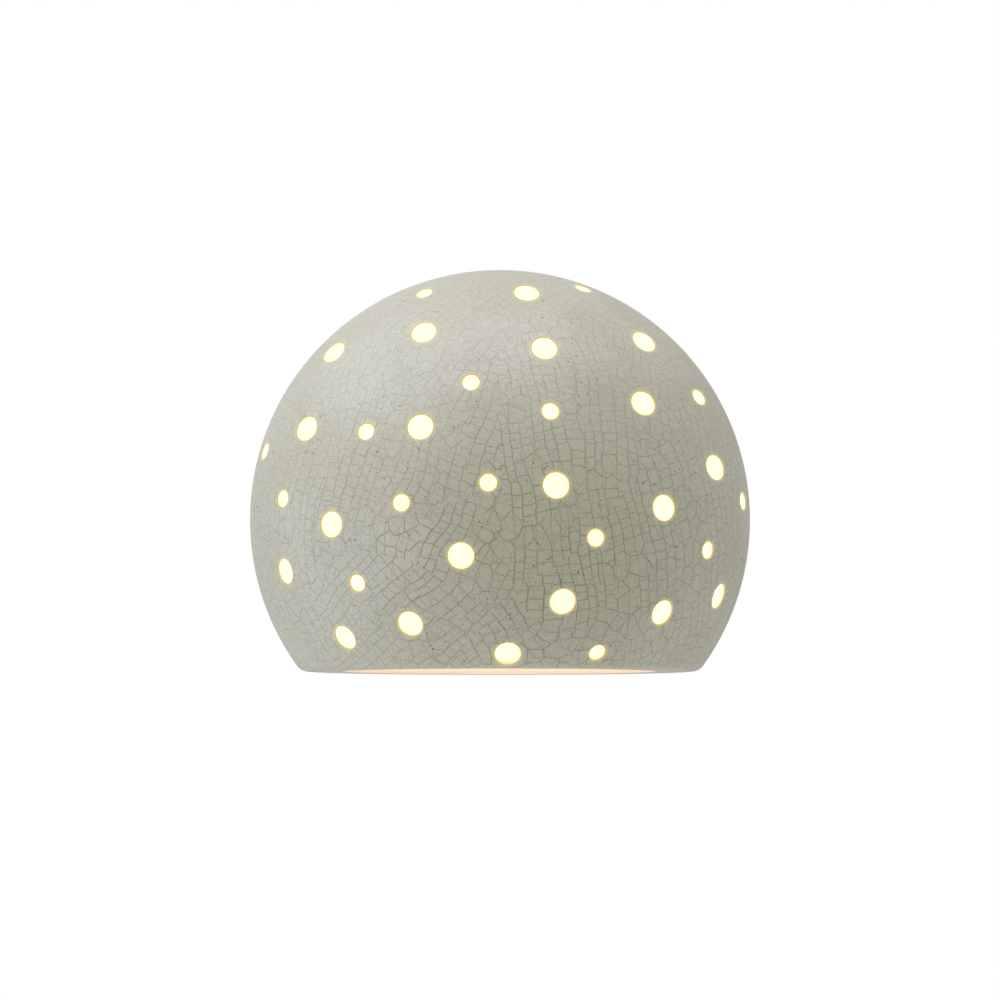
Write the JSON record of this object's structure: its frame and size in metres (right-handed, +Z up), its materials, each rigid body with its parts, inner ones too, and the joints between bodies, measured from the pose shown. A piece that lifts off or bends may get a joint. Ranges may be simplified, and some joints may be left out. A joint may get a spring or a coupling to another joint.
{
  "type": "ceramic globe wall light",
  "caption": "Wall light: a pierced, crackle-glazed ceramic globe, open underneath, clamped to a round wall plate, with a porcelain lampholder and a frosted lamp.",
  "frame": {"origin": "centre of the wall box's screw pattern, on the wall's surface", "axes": "+Z up, +Y into the wall, so the light stands out along -Y; +X to the right for somebody facing the light"},
  "size_m": [0.25, 0.233, 0.201],
  "materials": {
    "crackle_glaze": "grey-white crackle glaze, glossy; bare warm bisque inside and on the foot",
    "silicone": "translucent white, matt",
    "zinc_steel": "zinc plated",
    "green_enamel": "green dyed zinc",
    "white_enamel": "white stove enamel, semi-gloss",
    "black_rubber": "matt",
    "brass": "satin brass",
    "phosphor_bronze": "bright strip",
    "porcelain": "white electrical porcelain, glossy",
    "tinned_metal": "tinned",
    "nylon": "natural moulded nylon",
    "black_insulation": "satin sleeve",
    "white_insulation": "satin sleeve",
    "green_insulation": "satin sleeve",
    "frosted_glass": "acid-frosted, lit",
    "clear_glass": "clear",
    "cap_metal": "bright aluminium",
    "black_glass": "black vitrite",
    "nickel_wire": "drawn wire",
    "tungsten": "glowing"
  },
  "bodies": {
    "wall_mount": {"mounting_plate": "zinc_steel", "mounting_studs": "zinc_steel", "stud_locknuts": "zinc_steel", "ground_screw": "green_enamel"},
    "shade_assembly": {"globe_shade": "crackle_glaze", "shade_gasket": "silicone", "back_pan": "white_enamel", "wire_grommet": "black_rubber", "lampholder_body": "porcelain", "lampholder_shell": "brass", "lampholder_contact": "phosphor_bronze", "lampholder_rivets": "brass", "lampholder_tabs": "tinned_metal", "lampholder_inserts": "brass", "lampholder_screws": "zinc_steel", "lampholder_washers": "zinc_steel", "terminal_block": "nylon", "terminal_tubes": "brass", "terminal_screws": "zinc_steel", "terminal_block_screws": "zinc_steel", "line_lead": "black_insulation", "neutral_lead": "white_insulation", "earth_lead": "green_insulation", "earth_tag": "tinned_metal", "earth_screw": "zinc_steel", "earth_nut": "zinc_steel"},
    "upper_washer": {"upper_washer": "brass"},
    "upper_nut": {"upper_cap_nut": "brass"},
    "lower_washer": {"lower_washer": "brass"},
    "lower_nut": {"lower_cap_nut": "brass"},
    "bulb_tip": {"bulb_contact": "tinned_metal"},
    "bulb": {"bulb_glass": "frosted_glass", "bulb_cap": "cap_metal", "bulb_insulator": "black_glass", "bulb_stem": "clear_glass", "bulb_support_wires": "nickel_wire", "bulb_filament": "tungsten"}
  },
  "joints": [
    {"name": "lift_off", "type": "slide", "parent": "wall_mount", "child": "shade_assembly", "axis": [0, -1, 0], "range_m": [0, 0.045]},
    {"name": "upper_nut_draw", "type": "slide", "parent": "shade_assembly", "child": "upper_washer", "axis": [0, -1, 0], "range_m": [0, 0.01]},
    {"name": "upper_nut_turn", "type": "hinge", "parent": "upper_washer", "child": "upper_nut", "pos_m": [0, -0.035, 0.034], "axis": [0, -1, 0], "range_deg": [0, 4500]},
    {"name": "lower_nut_draw", "type": "slide", "parent": "shade_assembly", "child": "lower_washer", "axis": [0, -1, 0], "range_m": [0, 0.01]},
    {"name": "lower_nut_turn", "type": "hinge", "parent": "lower_washer", "child": "lower_nut", "pos_m": [0, -0.035, -0.034], "axis": [0, -1, 0], "range_deg": [0, 4500]},
    {"name": "bulb_draw", "type": "slide", "parent": "shade_assembly", "child": "bulb_tip", "axis": [0, -1, 0], "range_m": [0, 0.0182]},
    {"name": "bulb_turn", "type": "hinge", "parent": "bulb_tip", "child": "bulb", "pos_m": [0, -0.09, 0], "axis": [0, -1, 0], "range_deg": [0, 1800]}
  ],
  "couplings": [
    {"joint": "upper_nut_draw", "follows": "upper_nut_turn", "m_per_rad": 0.00012637},
    {"joint": "lower_nut_draw", "follows": "lower_nut_turn", "m_per_rad": 0.00012637},
    {"joint": "bulb_draw", "follows": "bulb_turn", "m_per_rad": 0.00057751}
  ]
}
